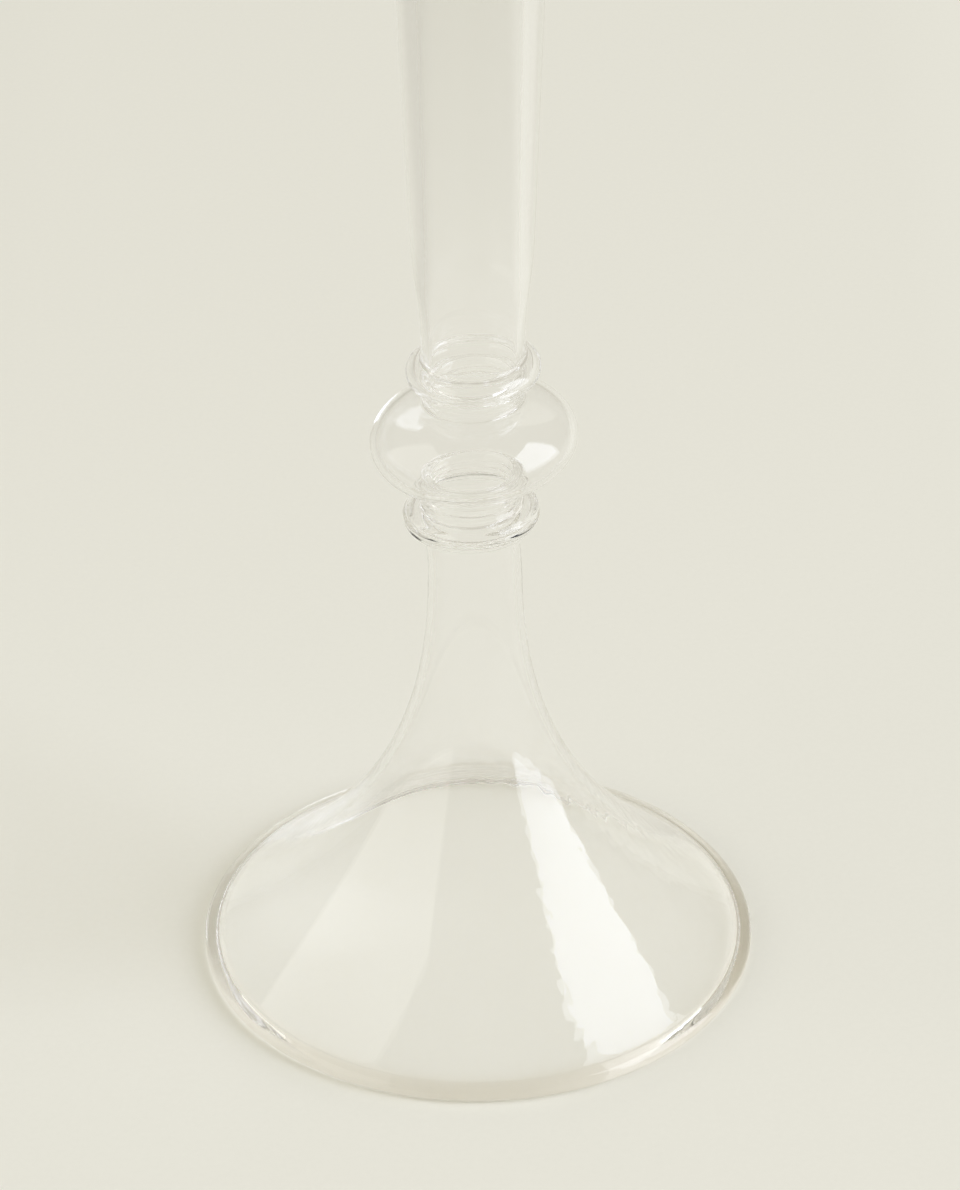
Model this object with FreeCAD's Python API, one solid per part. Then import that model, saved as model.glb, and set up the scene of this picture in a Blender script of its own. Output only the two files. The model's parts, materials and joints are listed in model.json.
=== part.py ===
import FreeCAD, Part
import math
import os

# Glass candlestick, in millimetres.
# Origin: centre of the foot's resting plane. +Z runs up the stem.
# Every piece is a ring of glass turned about Z. Each one is fused to the next
# across a flat or cylindrical seam, so neighbours touch face to face.

# ---------------------------------------------------------------- height and foot
OVERALL_HEIGHT = 250.0      # resting plane to the top of the lip; the stem takes up any change
FOOT_DIA = 100.0            # over the rim bead
FOOT_HEIGHT = 88.4          # resting plane to the seam under the lower collar
RIM_BEAD_DIA = 3.4          # thickness of the bead melted on to the foot's edge
RIM_SEAM_INSET = 0.75       # from the bead's centre line in to the seam with the bell
REST_FLAT_OUTSET = 0.7      # the flat the foot stands on, out from the bead's centre line
BELL_RIM_WALL = 2.1         # upright thickness of the bell where it meets the bead
FLARE_POWER = 2.65          # how suddenly the bell opens out; 1 is a plain cone
NECK_DIA = 16.3             # outside of the straight neck above the bell
NECK_LENGTH = 4.4           # straight neck below the lower collar
NECK_WALL = 1.15

# ---------------------------------------------------------------- collars
LOWER_COLLAR_BEAD_DIA = 4.4
LOWER_COLLAR_STANDOUT = 2.9     # beyond the knop's lower neck
LOWER_COLLAR_WALL = 1.05        # each collar is a hollow fold in the tube
UPPER_COLLAR_BEAD_DIA = 4.9
UPPER_COLLAR_STANDOUT = 2.45    # beyond the waist of the stem
UPPER_COLLAR_WALL = 1.05

# ---------------------------------------------------------------- knop
KNOP_DIA = 35.8
KNOP_HEIGHT = 18.2          # pole to pole of the flattened ball
KNOP_WALL = 1.2
KNOP_NECK_DIA = 17.4
KNOP_NECK_WALL = 1.6
KNOP_LOWER_NECK = 4.8       # from the lower seam to the ball
KNOP_UPPER_NECK = 3.05      # from the ball to the upper seam
KNOP_FILLET = 1.4           # where each neck runs into the ball

# ---------------------------------------------------------------- stem
STEM_WAIST_DIA = 17.8
STEM_WAIST_LENGTH = 2.4     # straight part just above the collar
STEM_WAIST_WALL = 1.5
STEM_SWELL_DIA = 21.1       # where the swelling above the waist settles to a slow taper
STEM_SWELL_LENGTH = 21.5    # from the end of the waist to that point
STEM_TOP_WALL = 4.0

# ---------------------------------------------------------------- candle socket and lip
CANDLE_DIA = 22.0           # the dinner candle the socket takes
CANDLE_CLEARANCE = 0.25     # all round the candle
SOCKET_DEPTH = 29.0         # straight bore inside the socket piece
SOCKET_BASE_WALL = 1.85
SOCKET_MOUTH_WALL = 3.15
SEAT_HEIGHT = 4.0           # sloping shoulder that stops the candle
LIP_HEIGHT = 4.0
LIP_BEAD_DIA = 3.6
LIP_STANDOUT = 2.6          # beyond the mouth of the socket
LIP_LEAD_IN = 1.6           # radius that guides the candle into the bore

CURVE_STEPS = 12            # spans in each curve drawn from a formula


# ---------------------------------------------------------------- sizes that follow
foot_radius = FOOT_DIA / 2
bead_radius = RIM_BEAD_DIA / 2
bead_centre_r = foot_radius - bead_radius
bead_centre_z = math.sqrt(bead_radius ** 2 - REST_FLAT_OUTSET ** 2)
rim_seam_r = bead_centre_r - RIM_SEAM_INSET
rim_seam_top = bead_centre_z + math.sqrt(bead_radius ** 2 - RIM_SEAM_INSET ** 2)
bell_inside_z = rim_seam_top - BELL_RIM_WALL

neck_radius = NECK_DIA / 2
neck_bore = neck_radius - NECK_WALL
flare_top = FOOT_HEIGHT - NECK_LENGTH

knop_neck_radius = KNOP_NECK_DIA / 2
knop_bore = knop_neck_radius - KNOP_NECK_WALL
stem_waist_radius = STEM_WAIST_DIA / 2
stem_waist_bore = stem_waist_radius - STEM_WAIST_WALL

socket_bore = CANDLE_DIA / 2 + CANDLE_CLEARANCE
socket_base_radius = socket_bore + SOCKET_BASE_WALL
socket_mouth_radius = socket_bore + SOCKET_MOUTH_WALL
stem_top_bore = socket_base_radius - STEM_TOP_WALL

knop_half = KNOP_HEIGHT / 2
knop_radius = KNOP_DIA / 2
ball_half_outer = knop_half * math.sqrt(1 - (knop_neck_radius / knop_radius) ** 2)
ball_half_inner = (knop_half - KNOP_WALL) * math.sqrt(1 - (knop_bore / (knop_radius - KNOP_WALL)) ** 2)

z_lower_collar = FOOT_HEIGHT
z_knop = z_lower_collar + LOWER_COLLAR_BEAD_DIA
z_ball = z_knop + KNOP_LOWER_NECK + ball_half_outer
z_upper_collar = z_ball + ball_half_outer + KNOP_UPPER_NECK
z_stem = z_upper_collar + UPPER_COLLAR_BEAD_DIA
z_top = OVERALL_HEIGHT
z_lip = z_top - LIP_HEIGHT
z_socket = z_lip - SOCKET_DEPTH - SEAT_HEIGHT


# ---------------------------------------------------------------- drawing helpers
def at(r, z):
    """A point in the XZ plane: r out from the axis, z up."""
    return FreeCAD.Vector(r, 0, z)


def line(a, b):
    return Part.makeLine(at(*a), at(*b))


def arc(a, through, b):
    return Part.Arc(at(*a), at(*through), at(*b)).toShape()


def turn(edges):
    """Close the section and turn it once round Z."""
    wire = Part.Wire(Part.__sortEdges__(edges))
    return Part.Face(wire).revolve(at(0, 0), at(0, 1), 360)


def flare(neck_r, edge_r, edge_z):
    """The bell's curve, from its edge up to the straight neck."""
    rise = flare_top - edge_z
    points = []
    for step in range(CURVE_STEPS + 1):
        fall = 1 - step / CURVE_STEPS
        points.append(at(neck_r + (edge_r - neck_r) * fall ** FLARE_POWER, flare_top - rise * fall))
    curve = Part.BSplineCurve()
    curve.interpolate(points)
    return curve.toShape()


def ball_side(radius, half_height, half_chord):
    """The side of the knop's ball: an ellipse between its two necks."""
    reach = math.asin(half_chord / half_height)
    points = []
    for step in range(CURVE_STEPS + 1):
        angle = reach * (2 * step / CURVE_STEPS - 1)
        points.append(at(radius * math.cos(angle), z_ball + half_height * math.sin(angle)))
    curve = Part.BSplineCurve()
    curve.interpolate(points)
    return curve.toShape()


def round_corners(solid, r, heights, radius):
    """Blend the circular corners at this distance from the axis and these heights."""
    corners = []
    for edge in solid.Edges:
        centre = edge.BoundBox.Center
        if abs(edge.BoundBox.XLength / 2 - r) < 0.01 and min(abs(centre.z - h) for h in heights) < 0.01:
            corners.append(edge)
    return solid.makeFillet(radius, corners)


def collar(z, bead_dia, outer_r, wall, bore_below, bore_above):
    """A fold of the tube, pushed out into a hollow ring of even wall."""
    base_r = outer_r - bead_dia / 2
    top = z + bead_dia
    groove_low = z + wall
    groove_high = top - wall
    return turn([
        line((bore_below, z), (base_r, z)),
        arc((base_r, z), (outer_r, z + bead_dia / 2), (base_r, top)),
        line((base_r, top), (bore_above, top)),
        line((bore_above, top), (bore_above, groove_high)),
        line((bore_above, groove_high), (base_r, groove_high)),
        arc((base_r, groove_high), (outer_r - wall, z + bead_dia / 2), (base_r, groove_low)),
        line((base_r, groove_low), (bore_below, groove_low)),
        line((bore_below, groove_low), (bore_below, z)),
    ])


# ---------------------------------------------------------------- pieces
pieces = {}

pieces["foot_rim"] = turn([
    line((rim_seam_r, 0), (bead_centre_r + REST_FLAT_OUTSET, 0)),
    arc((bead_centre_r + REST_FLAT_OUTSET, 0), (foot_radius, bead_centre_z),
        (bead_centre_r, bead_centre_z + bead_radius)),
    arc((bead_centre_r, bead_centre_z + bead_radius),
        (bead_centre_r - bead_radius * math.sin(0.2), bead_centre_z + bead_radius * math.cos(0.2)),
        (rim_seam_r, rim_seam_top)),
    line((rim_seam_r, rim_seam_top), (rim_seam_r, 0)),
])

pieces["foot_bell"] = turn([
    line((rim_seam_r, bell_inside_z), (rim_seam_r, rim_seam_top)),
    flare(neck_radius, rim_seam_r, rim_seam_top),
    line((neck_radius, flare_top), (neck_radius, FOOT_HEIGHT)),
    line((neck_radius, FOOT_HEIGHT), (neck_bore, FOOT_HEIGHT)),
    line((neck_bore, FOOT_HEIGHT), (neck_bore, flare_top)),
    flare(neck_bore, rim_seam_r, bell_inside_z),
])

pieces["lower_collar"] = collar(
    z_lower_collar, LOWER_COLLAR_BEAD_DIA, knop_neck_radius + LOWER_COLLAR_STANDOUT,
    LOWER_COLLAR_WALL, neck_bore, knop_bore)

knop = turn([
    line((knop_bore, z_knop), (knop_neck_radius, z_knop)),
    line((knop_neck_radius, z_knop), (knop_neck_radius, z_ball - ball_half_outer)),
    ball_side(knop_radius, knop_half, ball_half_outer),
    line((knop_neck_radius, z_ball + ball_half_outer), (knop_neck_radius, z_upper_collar)),
    line((knop_neck_radius, z_upper_collar), (knop_bore, z_upper_collar)),
    line((knop_bore, z_upper_collar), (knop_bore, z_ball + ball_half_inner)),
    ball_side(knop_radius - KNOP_WALL, knop_half - KNOP_WALL, ball_half_inner),
    line((knop_bore, z_ball - ball_half_inner), (knop_bore, z_knop)),
])
knop = round_corners(knop, knop_neck_radius, (z_ball - ball_half_outer, z_ball + ball_half_outer),
                     KNOP_FILLET)
pieces["bulb_knop"] = round_corners(knop, knop_bore, (z_ball - ball_half_inner, z_ball + ball_half_inner),
                                    KNOP_FILLET)

pieces["upper_collar"] = collar(
    z_upper_collar, UPPER_COLLAR_BEAD_DIA, stem_waist_radius + UPPER_COLLAR_STANDOUT,
    UPPER_COLLAR_WALL, knop_bore, stem_waist_bore)

# The stem leaves the waist upright and joins the slow taper without a corner.
z_waist = z_stem + STEM_WAIST_LENGTH
z_swell = z_waist + STEM_SWELL_LENGTH
swell_radius = STEM_SWELL_DIA / 2
taper = (socket_base_radius - swell_radius) / (z_socket - z_swell)
swell = Part.BezierCurve()
swell.setPoles([
    at(stem_waist_radius, z_waist),
    at(stem_waist_radius, z_waist + STEM_SWELL_LENGTH / 2),
    at(swell_radius - taper * STEM_SWELL_LENGTH / 2, z_swell - STEM_SWELL_LENGTH / 2),
    at(swell_radius, z_swell),
])
pieces["stem_tube"] = turn([
    line((stem_waist_bore, z_stem), (stem_waist_radius, z_stem)),
    line((stem_waist_radius, z_stem), (stem_waist_radius, z_waist)),
    swell.toShape(),
    line((swell_radius, z_swell), (socket_base_radius, z_socket)),
    line((socket_base_radius, z_socket), (stem_top_bore, z_socket)),
    line((stem_top_bore, z_socket), (stem_waist_bore, z_stem)),
])

pieces["candle_socket"] = turn([
    line((stem_top_bore, z_socket), (socket_base_radius, z_socket)),
    line((socket_base_radius, z_socket), (socket_mouth_radius, z_lip)),
    line((socket_mouth_radius, z_lip), (socket_bore, z_lip)),
    line((socket_bore, z_lip), (socket_bore, z_socket + SEAT_HEIGHT)),
    line((socket_bore, z_socket + SEAT_HEIGHT), (stem_top_bore, z_socket)),
])

lip_bead_radius = LIP_BEAD_DIA / 2
lip_radius = socket_mouth_radius + LIP_STANDOUT
lip_bead_r = lip_radius - lip_bead_radius
lead_in_r = socket_bore + LIP_LEAD_IN
bend = LIP_LEAD_IN * math.sqrt(0.5)
pieces["socket_lip"] = turn([
    line((socket_bore, z_lip), (socket_mouth_radius, z_lip)),
    line((socket_mouth_radius, z_lip), (lip_bead_r, z_top - LIP_BEAD_DIA)),
    arc((lip_bead_r, z_top - LIP_BEAD_DIA), (lip_radius, z_top - lip_bead_radius), (lip_bead_r, z_top)),
    line((lip_bead_r, z_top), (lead_in_r, z_top)),
    arc((lead_in_r, z_top), (lead_in_r - bend, z_top - LIP_LEAD_IN + bend),
        (socket_bore, z_top - LIP_LEAD_IN)),
    line((socket_bore, z_top - LIP_LEAD_IN), (socket_bore, z_lip)),
])

# ---------------------------------------------------------------- files
os.makedirs("parts", exist_ok=True)
for name, shape in pieces.items():
    shape.exportStep("parts/" + name + ".step")
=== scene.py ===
import json
import math

import bpy
import numpy as np
from mathutils import Matrix, Vector, noise


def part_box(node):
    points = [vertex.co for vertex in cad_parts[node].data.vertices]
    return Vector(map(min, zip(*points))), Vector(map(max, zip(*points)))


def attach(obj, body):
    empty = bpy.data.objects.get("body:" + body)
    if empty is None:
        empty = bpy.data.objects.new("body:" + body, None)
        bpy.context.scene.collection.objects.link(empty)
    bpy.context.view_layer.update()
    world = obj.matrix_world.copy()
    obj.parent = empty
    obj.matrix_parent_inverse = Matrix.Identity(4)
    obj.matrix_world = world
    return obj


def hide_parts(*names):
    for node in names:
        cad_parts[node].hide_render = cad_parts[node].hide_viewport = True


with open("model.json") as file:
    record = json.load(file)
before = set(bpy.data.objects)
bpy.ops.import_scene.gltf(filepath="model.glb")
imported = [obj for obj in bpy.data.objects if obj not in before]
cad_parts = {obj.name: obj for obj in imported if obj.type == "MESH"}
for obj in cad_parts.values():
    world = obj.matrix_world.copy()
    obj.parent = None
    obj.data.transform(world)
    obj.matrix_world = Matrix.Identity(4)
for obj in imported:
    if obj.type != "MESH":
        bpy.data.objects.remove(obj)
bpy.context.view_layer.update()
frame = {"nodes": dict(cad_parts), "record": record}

MM = 0.001
NODES = ("foot_rim", "foot_bell", "lower_collar", "bulb_knop", "upper_collar", "stem_tube",
         "candle_socket", "socket_lip")

# A glass candlestick on a pale studio floor. Its visible glass is one turned surface, outside and
# inside together, cut at the nodes' seams into open shells.

# ---------------------------------------------------------------- sizes, in millimetres
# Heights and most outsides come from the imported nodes. Necks, walls and bores inside a node, which
# its box can't show, are named here.
BOX = {name: [[c / MM for c in corner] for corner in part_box(name)] for name in frame["nodes"]}
MOUNTS = {m["name"]: m for m in frame["record"]["mounts"]}


def radius_of(node):
    return (BOX[node][1][1] - BOX[node][0][1]) / 2


def bottom_of(node):
    return BOX[node][0][2]


def top_of(node):
    return BOX[node][1][2]


foot_radius = radius_of("foot_rim")
rim_seam = radius_of("foot_bell")
BEAD = 1.7          # radius of the rim's bead
BEAD_FLAT = 0.7     # the flat it stands on, out from its centre line
bead_r = foot_radius - BEAD
bead_z = math.sqrt(BEAD ** 2 - BEAD_FLAT ** 2)
rim_seam_top = bead_z + math.sqrt(BEAD ** 2 - (bead_r - rim_seam) ** 2)
bell_inside = bottom_of("foot_bell")
z_lower = bottom_of("lower_collar")
z_knop = bottom_of("bulb_knop")
z_upper = bottom_of("upper_collar")
z_stem = bottom_of("stem_tube")
z_socket = bottom_of("candle_socket")
z_lip = bottom_of("socket_lip")
z_top = top_of("socket_lip")

FLARE_POWER = 2.65      # how suddenly the bell opens out
NECK = 8.15             # radii of the bell's neck
NECK_BORE = 7.0
NECK_LENGTH = 4.4
KNOP_NECK = 8.7         # radii of the knop's necks
KNOP_BORE = 7.1
KNOP_RADIUS = 17.9
KNOP_HALF = 9.1         # half the height of its ball
KNOP_WALL = 1.2
KNOP_LOWER_NECK = 4.8
WAIST = 8.9             # radii of the stem's waist
WAIST_BORE = 7.4
WAIST_LENGTH = 2.4
SWELL = 10.55           # radius where the stem's swelling ends
SWELL_LENGTH = 21.5
STEM_TOP_BORE = 9.1
SEAT_HEIGHT = 4.0
LIP_BEAD = 1.8
LIP_LEAD_IN = 1.6
COLLAR_WALL = 1.05
FOLD_SPARE = 0.3        # what melting takes off a collar
socket_bore = MOUNTS["candle_bore"]["dims"]["r_mm"]
socket_base = radius_of("stem_tube")
socket_mouth = radius_of("candle_socket")
lip_radius = radius_of("socket_lip")
flare_top = z_lower - NECK_LENGTH

# ---------------------------------------------------------------- outline
STEP = 0.05         # between samples of the outline
MELT = 9            # samples over which the seams' corners have run together in the flame
FOLD_MELT = 14      # the same in the collars, which are folds of the tube
FOLD_BLEND = 1.5    # height over which one changes to the other
COLUMNS = 320       # points in each ring
ROW_BEND = 0.09     # radians that the outline turns from one ring to the next
ROW_CLOSE = 0.14    # nearest and widest spacing of the rings
ROW_WIDE = 0.9
ROW_TOOLED = 0.22   # widest spacing where there are tool marks


def run(points):
    """Evenly spaced points along a polyline."""
    p = np.array(points, float)
    s = np.concatenate([[0], np.cumsum(np.hypot(*np.diff(p, axis=0).T))])
    n = max(int(s[-1] / STEP), 2)
    t = np.linspace(0, s[-1], n + 1)
    return np.stack([np.interp(t, s, p[:, 0]), np.interp(t, s, p[:, 1])], 1)


def arc(cr, cz, ra, rz, a0, a1, n=180):
    """Points on a circle or ellipse round (cr, cz), between two angles in degrees."""
    a = np.radians(np.linspace(a0, a1, n))
    return list(zip(cr + ra * np.cos(a), cz + rz * np.sin(a)))


def flare(neck, edge_z, upward):
    """The bell's curve between its edge and its neck."""
    fall = np.linspace(1, 0, 400)
    pts = list(zip(neck + (rim_seam - neck) * fall ** FLARE_POWER, flare_top - (flare_top - edge_z) * fall))
    return pts if upward else pts[::-1]


def collar(node, bead):
    """The outside of a hollow collar, from its bottom up."""
    z, r = bottom_of(node), radius_of(node)
    return arc(r - bead + FOLD_SPARE, z + bead, bead, bead, -90, 90)


def bulge(node, bead, bore_above, bore_below):
    """The inside of a hollow collar, from its top down."""
    z, r = bottom_of(node), radius_of(node)
    inner = bead - COLLAR_WALL
    return ([(bore_above, z + 2 * bead), (bore_above, z + bead + inner)]
            + arc(r - bead, z + bead, inner, inner, 90, -90)
            + [(bore_below, z + bead - inner), (bore_below, z)])


def bezier(p0, p1, p2, p3, n=200):
    t = np.linspace(0, 1, n)[:, None]
    p = [np.array(q, float) for q in (p0, p1, p2, p3)]
    curve = ((1 - t) ** 3 * p[0] + 3 * t * (1 - t) ** 2 * p[1]
             + 3 * t ** 2 * (1 - t) * p[2] + t ** 3 * p[3])
    return [tuple(q) for q in curve]


ball_out = KNOP_HALF * math.sqrt(1 - (KNOP_NECK / KNOP_RADIUS) ** 2)
ball_z = z_knop + KNOP_LOWER_NECK + ball_out
ball_in_r, ball_in_h = KNOP_RADIUS - KNOP_WALL, KNOP_HALF - KNOP_WALL
ball_in = ball_in_h * math.sqrt(1 - (KNOP_BORE / ball_in_r) ** 2)
a_out = math.degrees(math.asin(ball_out / KNOP_HALF))
a_in = math.degrees(math.asin(ball_in / ball_in_h))
z_waist = z_stem + WAIST_LENGTH
z_swell = z_waist + SWELL_LENGTH
taper = (socket_base - SWELL) / (z_socket - z_swell)
lower_bead = (top_of("lower_collar") - z_lower) / 2
upper_bead = (top_of("upper_collar") - z_upper) / 2

rim_start = -math.degrees(math.acos(BEAD_FLAT / BEAD))
rim_end = 90 + math.degrees(math.asin((bead_r - rim_seam) / BEAD))

# Once round the section: up the outside, over the lip and down the inside.
LOOP = [
    ("foot_rim", [(rim_seam, bell_inside), (rim_seam, 0), (bead_r + BEAD_FLAT, 0)]
     + arc(bead_r, bead_z, BEAD, BEAD, rim_start, rim_end)),
    ("foot_bell", flare(NECK, rim_seam_top, True) + [(NECK, z_lower)]),
    ("lower_collar", [(NECK, z_lower)] + collar("lower_collar", lower_bead) + [(KNOP_NECK, z_knop)]),
    ("bulb_knop", [(KNOP_NECK, z_knop)] + arc(0, ball_z, KNOP_RADIUS, KNOP_HALF, -a_out, a_out)
     + [(KNOP_NECK, z_upper)]),
    ("upper_collar", [(KNOP_NECK, z_upper)] + collar("upper_collar", upper_bead) + [(WAIST, z_stem)]),
    ("stem_tube", [(WAIST, z_stem)]
     + bezier((WAIST, z_waist), (WAIST, z_waist + SWELL_LENGTH / 2),
              (SWELL - taper * SWELL_LENGTH / 2, z_swell - SWELL_LENGTH / 2), (SWELL, z_swell))
     + [(socket_base, z_socket)]),
    ("candle_socket", [(socket_base, z_socket), (socket_mouth, z_lip)]),
    ("socket_lip", [(socket_mouth, z_lip)]
     + arc(lip_radius - LIP_BEAD, z_top - LIP_BEAD, LIP_BEAD, LIP_BEAD, -90, 90)
     + arc(socket_bore + LIP_LEAD_IN, z_top - LIP_LEAD_IN, LIP_LEAD_IN, LIP_LEAD_IN, 90, 180)
     + [(socket_bore, z_lip)]),
    ("candle_socket", [(socket_bore, z_lip), (socket_bore, z_socket + SEAT_HEIGHT),
                       (STEM_TOP_BORE, z_socket)]),
    ("stem_tube", [(STEM_TOP_BORE, z_socket), (WAIST_BORE, z_stem)]),
    ("upper_collar", bulge("upper_collar", upper_bead, WAIST_BORE, KNOP_BORE)),
    ("bulb_knop", [(KNOP_BORE, z_upper)] + arc(0, ball_z, ball_in_r, ball_in_h, a_in, -a_in)
     + [(KNOP_BORE, z_knop)]),
    ("lower_collar", bulge("lower_collar", lower_bead, KNOP_BORE, NECK_BORE)),
    ("foot_bell", [(NECK_BORE, z_lower)] + flare(NECK_BORE, bell_inside, False)),
]

raw, label = [], []
for k, (node, pts) in enumerate(LOOP):
    p = run(pts)[:-1]
    raw.append(p)
    label += [k] * len(p)
raw, label = np.concatenate(raw), np.array(label)


def melted(spread):
    """The outline run together over this many samples."""
    reach = 4 * spread
    kernel = np.exp(-0.5 * (np.arange(-reach, reach + 1) / spread) ** 2)
    kernel /= kernel.sum()
    wrapped = np.concatenate([raw[-reach:], raw, raw[:reach]])
    return np.stack([np.convolve(wrapped[:, c], kernel, "valid") for c in (0, 1)], 1)


def ease(value, low, high):
    """0 below low, 1 above high, and a smooth rise between them."""
    t = np.clip((value - low) / (high - low), 0, 1)
    return t * t * (3 - 2 * t)


def between(value, low, high, soft):
    """1 from low to high, falling smoothly to 0 outside them."""
    return ease(value, low - soft, low) - ease(value, high, high + soft)


heights = raw[:, 1]
folds = between(heights, z_lower, z_knop, FOLD_BLEND) + between(heights, z_upper, z_stem, FOLD_BLEND)
folds = folds[:, None]
smooth = melted(MELT) * (1 - folds) + melted(FOLD_MELT) * folds
smooth[:, 1] -= smooth[:, 1].min()

RIDGE_PITCH = 1.45
LOWER_RIDGES = 0.085    # depth on the lower collar and the knop's lower neck
UPPER_RIDGES = 0.06     # depth on the knop's upper neck


def tool_marks(z):
    """Depth of the fine ridges that tooling leaves on the knop's necks and the lower collar."""
    lower = LOWER_RIDGES * between(z, z_lower + 0.8, z_knop + 4.4, 1.0)
    upper = UPPER_RIDGES * between(z, z_upper - 3.2, z_upper - 0.6, 0.8)
    return lower + upper


# Rows are close where the outline bends and wide where it runs straight.
tangent = np.roll(smooth, -1, 0) - np.roll(smooth, 1, 0)
heading = np.unwrap(np.arctan2(tangent[:, 1], tangent[:, 0]))
bend = np.abs(np.gradient(heading)) / STEP
rows, row_run = [], []
for k in range(len(LOOP)):
    idx = np.where(label == k)[0]
    tooled = tool_marks(smooth[idx, 1]) > 0
    density = np.maximum(np.clip(bend[idx] / ROW_BEND, 1 / ROW_WIDE, 1 / ROW_CLOSE), tooled / ROW_TOOLED)
    total = np.concatenate([[0], np.cumsum(density * STEP)])
    n = max(int(math.ceil(total[-1])), 3)
    at = np.interp(np.arange(n) * total[-1] / n, total, np.arange(len(total)))
    rows += list(idx[0] + at)
    row_run += [k] * n
rows = np.array(rows)
span = np.arange(len(smooth) + 1)
closed = np.concatenate([smooth, smooth[:1]])
R = np.interp(rows, span, closed[:, 0])
Z = np.interp(rows, span, closed[:, 1])
row_run = np.array(row_run)

# ---------------------------------------------------------------- the turned skin, with a hand-made waver
theta = np.linspace(0, 2 * math.pi, COLUMNS, endpoint=False)
TR = np.roll(R, -1) - np.roll(R, 1)
TZ = np.roll(Z, -1) - np.roll(Z, 1)
length = np.hypot(TR, TZ)
NR, NZ = TZ / length, -TR / length


WAVER_SEED = 3.1
WAVER_FROM = 9.0                # the radius where it starts, and how far out it grows to its full size
WAVER_GROWS = 12.0
WAVER_TOP = 80                  # the glass above this height is true
WAVER_SIDE = math.radians(-50)  # where the waver is strongest, round the axis


def waver(r, z, seed):
    """How far the bell stands off its true round, in millimetres."""
    c, s = np.cos(theta), np.sin(theta)
    out = np.zeros((len(r), COLUMNS))
    for i in range(len(r)):
        amount = np.clip((r[i] - WAVER_FROM) / WAVER_GROWS, 0.0, 1.0)
        amount = amount * (1 if z[i] < WAVER_TOP else 0) * ease(z[i], 0.3, 1.4)
        if amount <= 0:
            continue
        for j in range(COLUMNS):
            p = Vector((r[i] * c[j], r[i] * s[j], z[i]))
            side = 0.04 + 0.96 * max(0.0, math.cos(theta[j] - WAVER_SIDE)) ** 3
            broad = 0.05 * noise.noise(p * 0.16 + Vector((seed, 0, 0)))
            fine = 0.034 * noise.noise(p * 0.55 + Vector((0, seed, 0)))
            out[i, j] = amount * side * (broad + fine)
    return out


D = waver(R, Z, WAVER_SEED)
outside = (row_run < len(NODES))[:, None]
D += outside * tool_marks(Z)[:, None] * np.sin(2 * math.pi * Z[:, None] / RIDGE_PITCH + theta)
P = np.empty((len(R), COLUMNS, 3))
P[:, :, 0] = (R[:, None] + D * NR[:, None]) * np.cos(theta)
P[:, :, 1] = (R[:, None] + D * NR[:, None]) * np.sin(theta)
P[:, :, 2] = Z[:, None] + D * NZ[:, None]

# Worked by hand in the flame, the knop and its collars sit a little crooked on the stem.
LEAN = 0.050    # rise per millimetre towards +X
SHIFT = 0.6     # towards -X
lean = LEAN * ease(Z, 78, 100) - LEAN * ease(Z, 112, 140)
shift = -SHIFT * ease(Z, 78, 90) + SHIFT * ease(Z, 94, 104)
P[:, :, 2] += lean[:, None] * P[:, :, 0]
P[:, :, 0] += shift[:, None]
along = np.roll(P, -1, 0) - np.roll(P, 1, 0)
around = np.roll(P, -1, 1) - np.roll(P, 1, 1)
N = np.cross(around, along)
N /= np.linalg.norm(N, axis=2, keepdims=True)
P *= MM


def glass_behind():
    """Millimetres of glass straight behind each row of the skin."""
    a = np.stack([R, Z], 1)
    b = np.roll(a, -1, 0)
    out = np.empty(len(R))
    for i in range(len(R)):
        d = -np.array([NR[i], NZ[i]])
        o = a[i]
        e = b - a
        cross = d[0] * e[:, 1] - d[1] * e[:, 0]
        cross = np.where(np.abs(cross) < 1e-12, 1e-12, cross)
        t = ((a[:, 0] - o[0]) * e[:, 1] - (a[:, 1] - o[1]) * e[:, 0]) / cross
        u = ((a[:, 0] - o[0]) * d[1] - (a[:, 1] - o[1]) * d[0]) / cross
        hit = t[(u >= 0) & (u < 1) & (t > 0.05)]
        out[i] = hit.min() if len(hit) else 1.0
    return np.clip(out, 0.5, 5.0)


# A colour per point stands in for what thick glass absorbs, because the shells are open; on the rim's bead
# it also holds painted shade, darker and browner on one side round the axis.
ABSORB = np.array([0.0125, 0.0130, 0.0150])     # per millimetre
ABSORB_GAIN = 3.0
CLEAR_DEPTH = 2.3                               # thinner glass is left clear
DEPTH_BLUR = 2.5                                # rows
# Painted shade on the rim's bead: its colour, the height it stops at, the side round the axis where it is
# strongest, and how much of it is left on the opposite side.
PAINTED_BEAD_SHADE = np.array([0.964, 0.942, 0.912])
PAINTED_BEAD_SHADE_TOP = 6
PAINTED_BEAD_SHADE_SIDE = math.radians(-50)              # chosen angle round the axis where the bead's painted shade is strongest
THINNEST_BEAD_SHADE = 0.30
depth = glass_behind()
near = np.abs((np.arange(len(R))[:, None] - np.arange(len(R))[None, :] + len(R) // 2) % len(R) - len(R) // 2)
weight = np.exp(-0.5 * (near / DEPTH_BLUR) ** 2)
depth = weight @ depth / weight.sum(1)
# Painted shade: the bead low on the rim is darkened, most at one side round the axis.
bead = ease(R, rim_seam - 1.6, rim_seam + 0.4) * (Z < PAINTED_BEAD_SHADE_TOP)
bead_shade_round_axis = THINNEST_BEAD_SHADE + (1 - THINNEST_BEAD_SHADE) * (0.5 + 0.5 * np.cos(theta - PAINTED_BEAD_SHADE_SIDE))
through_wall = np.exp(-ABSORB_GAIN * np.maximum(depth[:, None] - CLEAR_DEPTH, 0) * ABSORB)
bead_painted_shade = 1 - (bead[:, None] * bead_shade_round_axis)[:, :, None] * (1 - PAINTED_BEAD_SHADE)
TINT_AND_SHADE = np.ones((len(R), COLUMNS, 4))
TINT_AND_SHADE[:, :, :3] = through_wall[:, None, :] * bead_painted_shade


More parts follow.
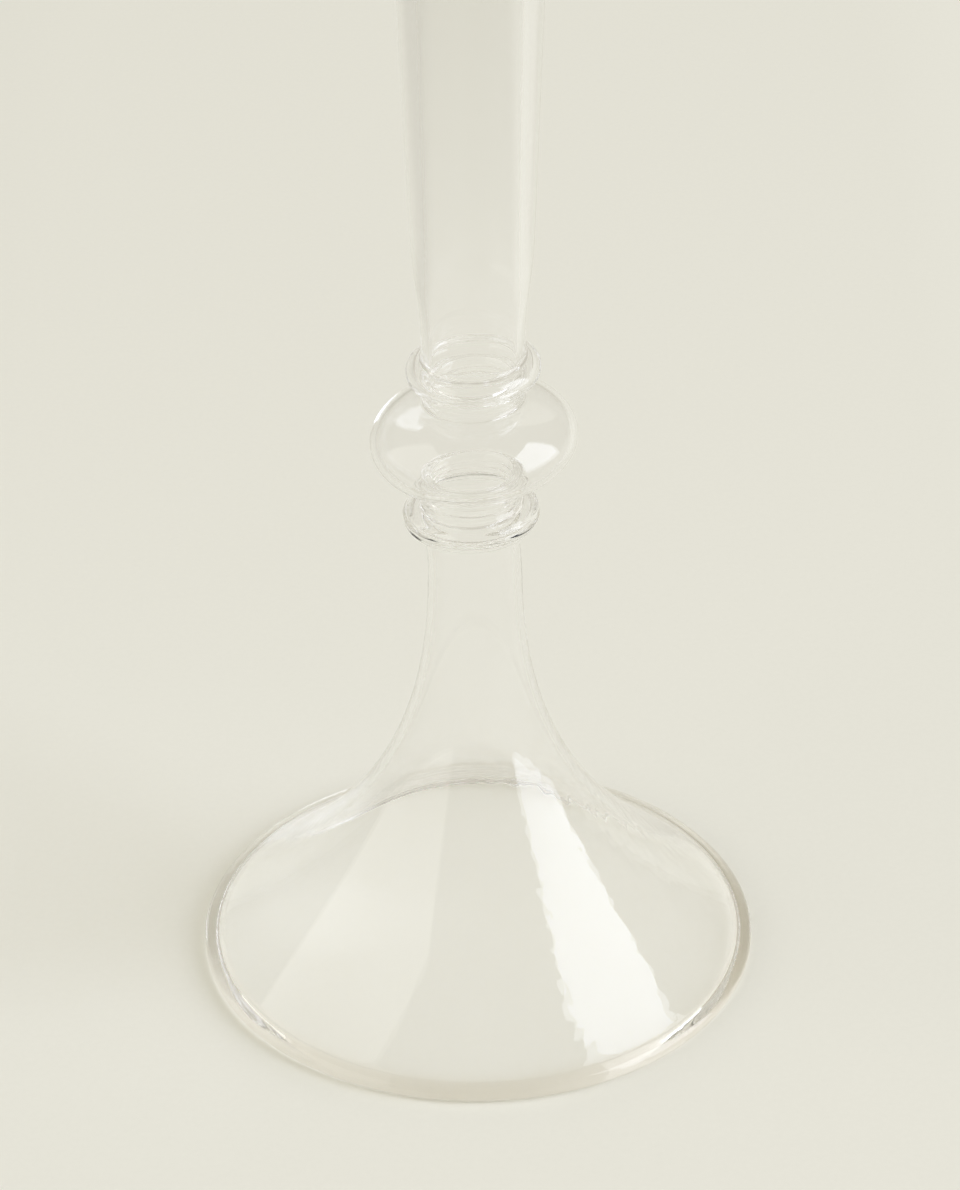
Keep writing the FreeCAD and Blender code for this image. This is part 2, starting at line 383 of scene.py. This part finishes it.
def skin(node):
    """One piece's outer and inner skin. Neighbours share the ring of points at their seam."""
    verts, normals, shades, faces = [], [], [], []
    for k in range(len(LOOP)):
        if LOOP[k][0] != node:
            continue
        idx = list(np.where(row_run == k)[0])
        idx.append((idx[-1] + 1) % len(R))
        base = len(verts) * COLUMNS
        verts += [P[i] for i in idx]
        normals += [N[i] for i in idx]
        shades.append(TINT_AND_SHADE[idx])
        for a in range(len(idx) - 1):
            lo, hi = base + a * COLUMNS, base + (a + 1) * COLUMNS
            for j in range(COLUMNS):
                q = (j + 1) % COLUMNS
                faces.append((lo + j, lo + q, hi + q, hi + j))
    mesh = bpy.data.meshes.new(node + "_glass")
    mesh.from_pydata(np.concatenate(verts).tolist(), [], faces)
    mesh.polygons.foreach_set("use_smooth", [True] * len(mesh.polygons))
    mesh.normals_split_custom_set_from_vertices(np.concatenate(normals).tolist())
    tint_and_shade = mesh.color_attributes.new("depth_tint_and_rim_shade", "FLOAT_COLOR", "POINT")
    tint_and_shade.data.foreach_set("color", np.concatenate(shades).ravel())
    mesh.update()
    obj = bpy.data.objects.new(node + "_glass", mesh)
    bpy.context.scene.collection.objects.link(obj)
    return obj


# ---------------------------------------------------------------- materials
def glass():
    """Clear glass with faint striae, tinted by the colour at each point, which holds the thick glass's
    absorption and a painted shade on the rim's bead.
    """
    m = bpy.data.materials.new("clear_glass")
    m.use_nodes = True
    b = m.node_tree.nodes["Principled BSDF"]
    nt = m.node_tree
    tint_and_shade = nt.nodes.new("ShaderNodeAttribute")
    tint_and_shade.attribute_name = "depth_tint_and_rim_shade"
    nt.links.new(tint_and_shade.outputs["Color"], b.inputs["Base Color"])
    where = nt.nodes.new("ShaderNodeTexCoord")
    striae = nt.nodes.new("ShaderNodeTexNoise")
    striae.inputs["Scale"].default_value = 260.0
    striae.inputs["Detail"].default_value = 2.0
    nt.links.new(where.outputs["Object"], striae.inputs["Vector"])
    bump = nt.nodes.new("ShaderNodeBump")
    bump.inputs["Strength"].default_value = 0.25
    bump.inputs["Distance"].default_value = 0.00001
    nt.links.new(striae.outputs["Fac"], bump.inputs["Height"])
    nt.links.new(bump.outputs["Normal"], b.inputs["Normal"])
    b.inputs["Roughness"].default_value = 0.0
    b.inputs["IOR"].default_value = 1.50
    b.inputs["Transmission Weight"].default_value = 1.0
    return m


def floor_paint():
    """Matt pale paper with a fine grain and painted light, darker at the left and lighter at the right
    towards the window light, and see-through from below.
    """
    m = bpy.data.materials.new("studio_floor")
    m.use_nodes = True
    nt = m.node_tree
    b = nt.nodes["Principled BSDF"]
    b.inputs["Roughness"].default_value = 1.0
    b.inputs["Specular IOR Level"].default_value = 0.0
    place = nt.nodes.new("ShaderNodeNewGeometry")
    axes = nt.nodes.new("ShaderNodeSeparateXYZ")
    nt.links.new(place.outputs["Position"], axes.inputs[0])
    # Painted light: the floor's colour runs from darker at the left to lighter at the right, towards the
    # window light.
    ramp = nt.nodes.new("ShaderNodeValToRGB")
    span = nt.nodes.new("ShaderNodeMapRange")
    span.inputs["From Min"].default_value = -0.4
    span.inputs["From Max"].default_value = 0.4
    nt.links.new(axes.outputs["X"], span.inputs["Value"])
    nt.links.new(span.outputs["Result"], ramp.inputs["Fac"])
    painted_light_stops = ramp.color_ramp.elements
    painted_light_stops[0].position, painted_light_stops[0].color = 0.20, (0.818, 0.812, 0.760, 1)
    painted_light_stops[1].position, painted_light_stops[1].color = 0.72, (0.972, 0.970, 0.915, 1)
    for at in (0.375, 0.625):
        stop = painted_light_stops.new(at)
        stop.color = (0.896, 0.892, 0.832, 1)
    grain = nt.nodes.new("ShaderNodeTexNoise")
    grain.inputs["Scale"].default_value = 900.0
    grain.inputs["Detail"].default_value = 3.0
    nt.links.new(place.outputs["Position"], grain.inputs["Vector"])
    speck = nt.nodes.new("ShaderNodeMapRange")
    speck.inputs["To Min"].default_value = 0.972
    speck.inputs["To Max"].default_value = 1.004
    nt.links.new(grain.outputs["Fac"], speck.inputs["Value"])
    paper = nt.nodes.new("ShaderNodeMixRGB")
    paper.blend_type = "MULTIPLY"
    paper.inputs["Fac"].default_value = 1.0
    nt.links.new(ramp.outputs["Color"], paper.inputs["Color1"])
    nt.links.new(speck.outputs["Result"], paper.inputs["Color2"])
    nt.links.new(paper.outputs["Color"], b.inputs["Base Color"])
    clear_back = nt.nodes.new("ShaderNodeBsdfTransparent")
    sides = nt.nodes.new("ShaderNodeMixShader")
    nt.links.new(place.outputs["Backfacing"], sides.inputs["Fac"])
    nt.links.new(b.outputs["BSDF"], sides.inputs[1])
    nt.links.new(clear_back.outputs["BSDF"], sides.inputs[2])
    nt.links.new(sides.outputs["Shader"], nt.nodes["Material Output"].inputs["Surface"])
    return m


clear = glass()
for node in NODES:
    piece = skin(node)
    piece.data.materials.append(clear)
    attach(piece, "root")
    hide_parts(node)

# ---------------------------------------------------------------- floor, lights, camera
mesh = bpy.data.meshes.new("floor")
FLOOR_HALF = 12.0
corners = [(x * FLOOR_HALF, y * FLOOR_HALF, 0) for x, y in ((-1, -1), (1, -1), (1, 1), (-1, 1))]
mesh.from_pydata(corners, [], [(0, 1, 2, 3)])
floor = bpy.data.objects.new("floor", mesh)
bpy.context.scene.collection.objects.link(floor)
mesh.materials.append(floor_paint())

world = bpy.data.worlds.new("studio")
bpy.context.scene.world = world
world.use_nodes = True
bg = world.node_tree.nodes["Background"]
bg.inputs["Color"].default_value = (0.60, 0.575, 0.50, 1)
bg.inputs["Strength"].default_value = 1.0


def panel(name, centre, size, aim, radiance, colour):
    """A flat light that faces the point aimed at."""
    light = bpy.data.lights.new(name, "AREA")
    light.shape = "RECTANGLE"
    light.size, light.size_y = size
    light.energy = radiance * math.pi * size[0] * size[1]
    light.color = colour
    obj = bpy.data.objects.new(name, light)
    obj.location = centre
    back = (Vector(centre) - Vector(aim)).normalized()
    obj.rotation_mode = "QUATERNION"
    obj.rotation_quaternion = back.to_track_quat("Z", "Y")
    bpy.context.scene.collection.objects.link(obj)


def upright_panel(name, x, start, end, tall, radiance, colour):
    """An upright light at this x, from one y to another, standing on the floor."""
    middle = (start + end) / 2
    panel(name, (x, middle, tall / 2), (end - start, tall), (0, middle, tall / 2), radiance, colour)


WINDOW_X = 3.0
upright_panel("window", WINDOW_X, -WINDOW_X / math.tan(math.radians(54)),
              -WINDOW_X / math.tan(math.radians(100)), 1.53 * WINDOW_X, 2.68, (0.84, 0.885, 1.02))
CARD_X = 2.5
upright_panel("white_card", -CARD_X, -CARD_X / math.tan(math.radians(36)),
              CARD_X / math.tan(math.radians(70)), 1.75 * CARD_X, 0.66, (0.97, 0.97, 0.95))

# The camera stands in front of the foot and above it, and is turned up so that the foot sits low in view.
ELEVATION = math.radians(36.5)
DISTANCE = 0.850
LOOK_HEIGHT = 0.0015
TURN_UP = math.radians(4.09924)
TURN_SIDE = math.radians(-0.06803)
ROLL = math.radians(-0.46)
cam_data = bpy.data.cameras.new("camera")
cam_data.sensor_width = 36
cam_data.lens = 140.1
cam_data.clip_end = 100
cam = bpy.data.objects.new("camera", cam_data)
bpy.context.scene.collection.objects.link(cam)
bpy.context.scene.camera = cam
place = Vector((0, 0, LOOK_HEIGHT)) + DISTANCE * Vector((0, -math.cos(ELEVATION), math.sin(ELEVATION)))
pitch = ELEVATION - TURN_UP
forward = Vector((math.sin(-TURN_SIDE) * math.cos(pitch), math.cos(TURN_SIDE) * math.cos(pitch),
                  -math.sin(pitch)))
right = forward.cross(Vector((0, 0, 1))).normalized()
up = right.cross(forward)
rolled_right = right * math.cos(ROLL) + up * math.sin(ROLL)
rolled_up = -right * math.sin(ROLL) + up * math.cos(ROLL)
facing = Matrix((rolled_right, rolled_up, -forward)).transposed()
cam.matrix_world = Matrix.Translation(place) @ facing.to_4x4()

scene = bpy.context.scene
scene.view_settings.view_transform = "Standard"
scene.cycles.blur_glossy = 0.0
scene.cycles.max_bounces = 64
scene.cycles.transmission_bounces = 64
scene.cycles.glossy_bounces = 64
scene.cycles.diffuse_bounces = 4
